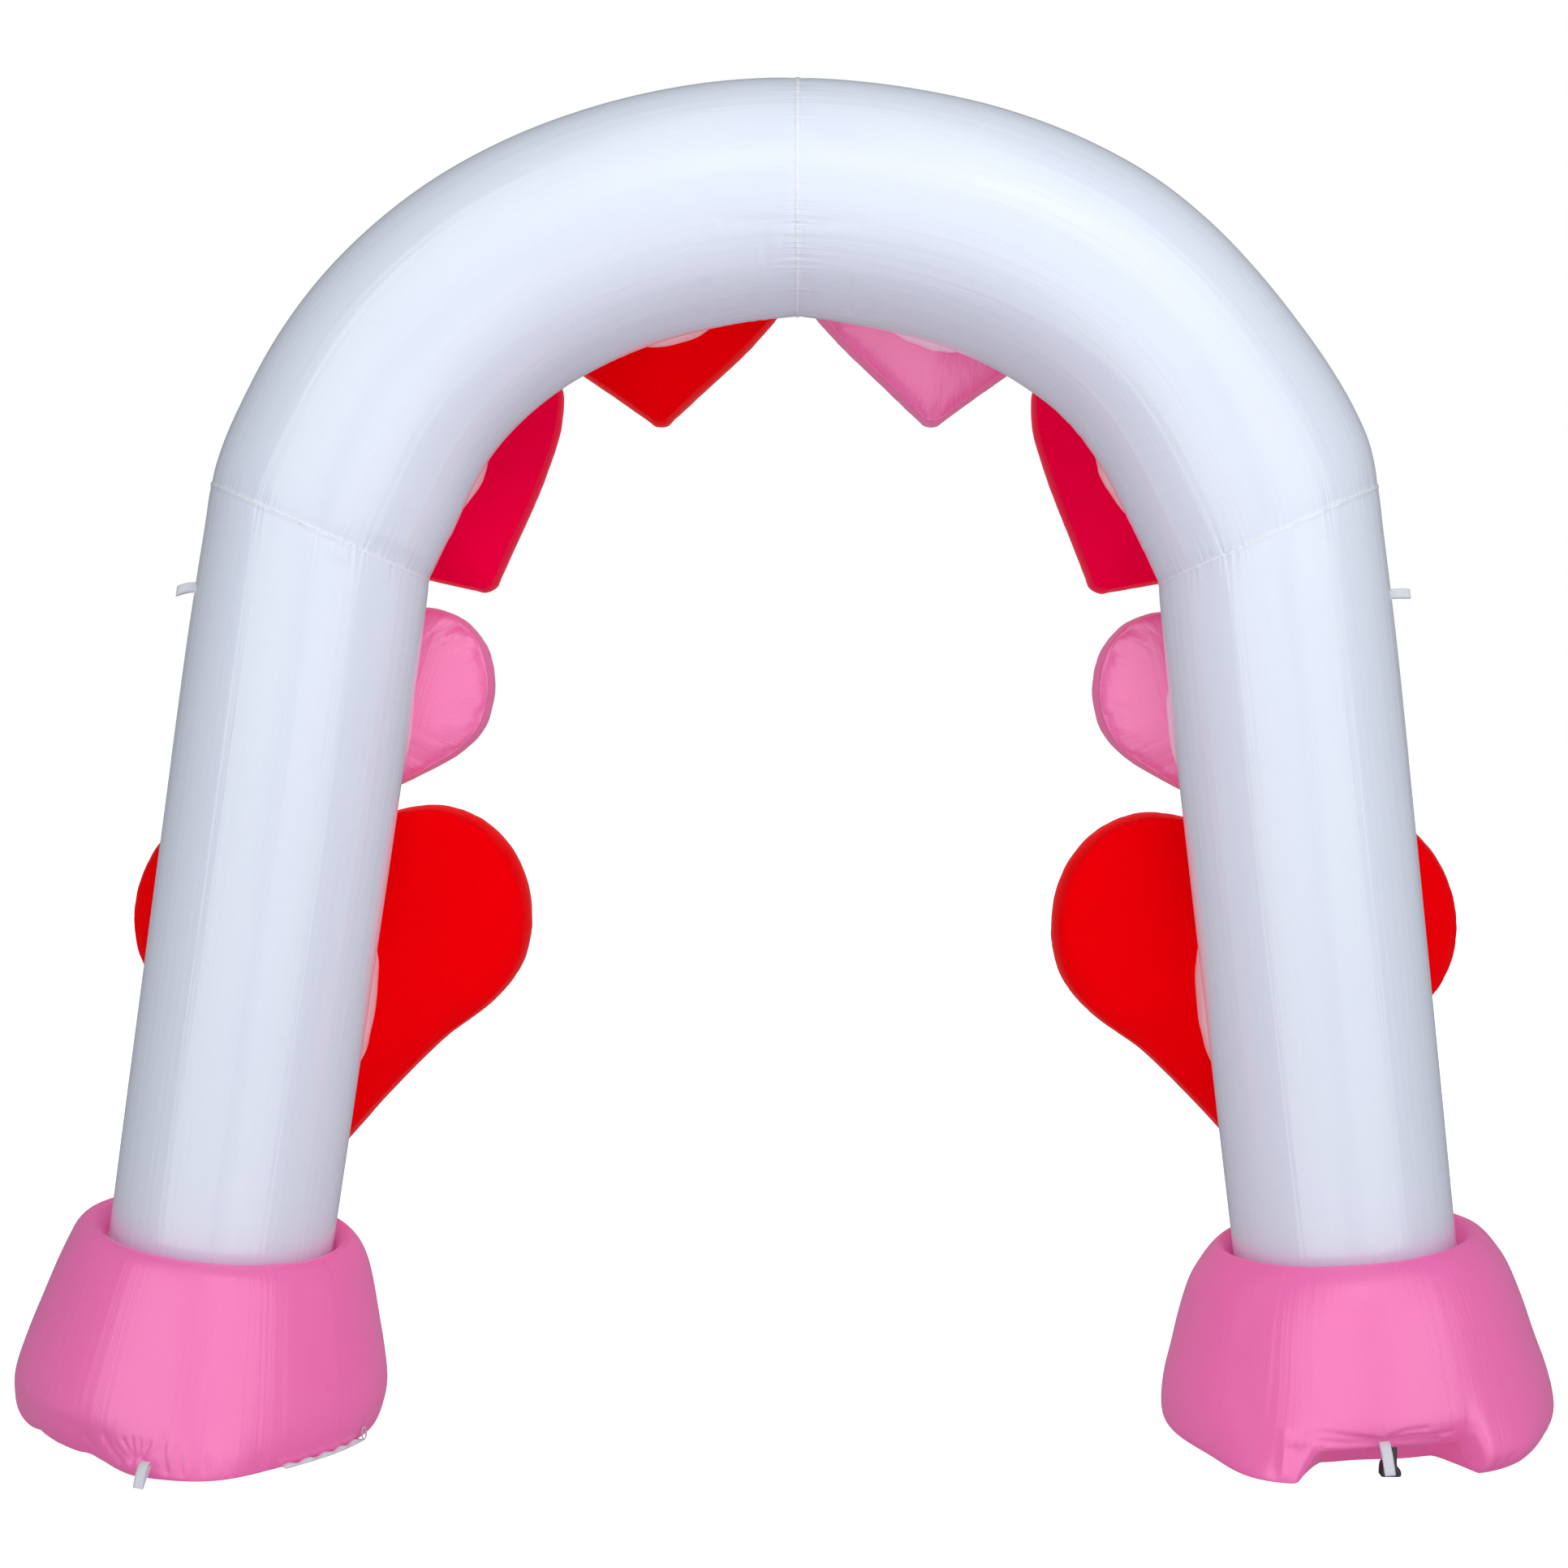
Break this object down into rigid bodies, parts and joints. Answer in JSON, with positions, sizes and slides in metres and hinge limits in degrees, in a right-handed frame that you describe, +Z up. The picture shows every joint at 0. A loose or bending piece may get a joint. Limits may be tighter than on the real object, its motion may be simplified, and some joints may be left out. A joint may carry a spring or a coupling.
{
  "type": "inflatable arch",
  "caption": "Blow-up taffeta archway: a white air tube on two puffed pink bases, with heart pillows hung on its front and webbing loops for guy lines.",
  "frame": {"origin": "centre of the bounding box on the floor, between the two bases", "axes": "+X across the span towards the base with the raised hem, +Y from the plain back to the front with the hearts, +Z up"},
  "size_m": [3.0898, 0.9236, 2.7264],
  "materials": {
    "white_taffeta": "white coated taffeta with a soft blue-grey sheen",
    "pink_taffeta": "pink coated taffeta",
    "red_taffeta": "bright red coated taffeta",
    "rose_taffeta": "rose pink coated taffeta",
    "crimson_taffeta": "crimson coated taffeta",
    "white_webbing": "white woven webbing",
    "white_zip": "white zip tape",
    "clear_pull": "cloudy translucent plastic",
    "black_rubber": "black rubber"
  },
  "bodies": {
    "root": {"crown_left": "white_taffeta", "crown_right": "white_taffeta", "leg_left": "white_taffeta", "leg_right": "white_taffeta", "base_left": "pink_taffeta", "base_right": "pink_taffeta", "heart_low_left": "red_taffeta", "heart_low_right": "red_taffeta", "heart_mid_left": "rose_taffeta", "heart_mid_right": "rose_taffeta", "heart_high_left": "crimson_taffeta", "heart_high_right": "crimson_taffeta", "heart_top_left": "red_taffeta", "heart_top_right": "rose_taffeta", "sleeve_low_left": "white_taffeta", "sleeve_low_right": "white_taffeta", "sleeve_mid_left": "white_taffeta", "sleeve_mid_right": "white_taffeta", "sleeve_high_left": "white_taffeta", "sleeve_high_right": "white_taffeta", "sleeve_top_left": "white_taffeta", "sleeve_top_right": "white_taffeta", "loop_leg_left": "white_webbing", "loop_leg_right": "white_webbing", "loop_base_left": "white_webbing", "loop_base_right": "white_webbing", "zip_tape": "white_zip", "zip_pull": "clear_pull", "blower_foot": "black_rubber"}
  },
  "joints": []
}
